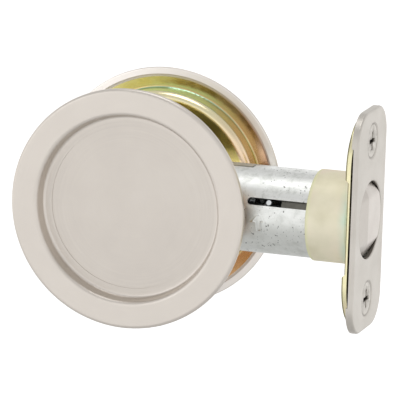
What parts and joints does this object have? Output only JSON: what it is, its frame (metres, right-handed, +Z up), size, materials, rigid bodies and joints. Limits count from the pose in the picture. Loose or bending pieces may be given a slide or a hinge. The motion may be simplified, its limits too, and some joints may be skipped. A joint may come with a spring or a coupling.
{
  "type": "pocket door lock",
  "caption": "Round flush-pull lock for a sliding pocket door: dished cups for both faces, a latch tube between them, and an edge faceplate with a push-to-release pull.",
  "frame": {"origin": "where the axis of the cups crosses the axis of the latch, at the middle of the door's thickness", "axes": "+X along the latch to the door's edge, +Y along the axis of the cups towards the rear cup, +Z up"},
  "size_m": [0.0907, 0.033, 0.0622],
  "materials": {
    "cup_nickel": "satin nickel plate over pressed steel, with fine spun brushing",
    "plate_nickel": "satin nickel plate, softly blasted",
    "pull_nickel": "satin nickel plate over cast zinc",
    "yellow_chromate": "yellow zinc chromate with rainbow tints",
    "collar_plate": "pale cream zinc chromate",
    "bright_zinc": "bright zinc plate with fine specks",
    "cast_zinc": "dull cast zinc",
    "spring_steel": "oiled spring steel",
    "screw_nickel": "satin nickel plated steel"
  },
  "bodies": {
    "lock_body": {"front_cup": "cup_nickel", "rear_cup": "cup_nickel", "front_backing_plate": "yellow_chromate", "rear_backing_plate": "yellow_chromate", "threaded_post_upper": "bright_zinc", "threaded_post_lower": "bright_zinc", "through_screw_upper": "bright_zinc", "through_screw_lower": "bright_zinc", "latch_tube": "bright_zinc", "collar": "collar_plate", "faceplate": "plate_nickel", "backplate": "yellow_chromate", "faceplate_screw_upper": "screw_nickel", "faceplate_screw_lower": "screw_nickel", "pull_spring": "spring_steel", "catch_wire": "spring_steel", "end_plug": "cast_zinc", "plug_pins": "spring_steel", "mounting_fork": "bright_zinc", "fork_rivets": "bright_zinc"},
    "edge_pull_body": {"edge_pull": "pull_nickel", "pull_stem": "bright_zinc", "stem_cross_pin": "spring_steel", "guide_pin": "bright_zinc", "heart_cam": "spring_steel", "cam_rivets": "bright_zinc"}
  },
  "joints": [
    {"name": "pull_slide", "type": "slide", "parent": "lock_body", "child": "edge_pull_body", "axis": [1, 0, 0], "range_m": [-0.0045, 0.0135], "deforming": ["pull_spring", "catch_wire"]}
  ]
}
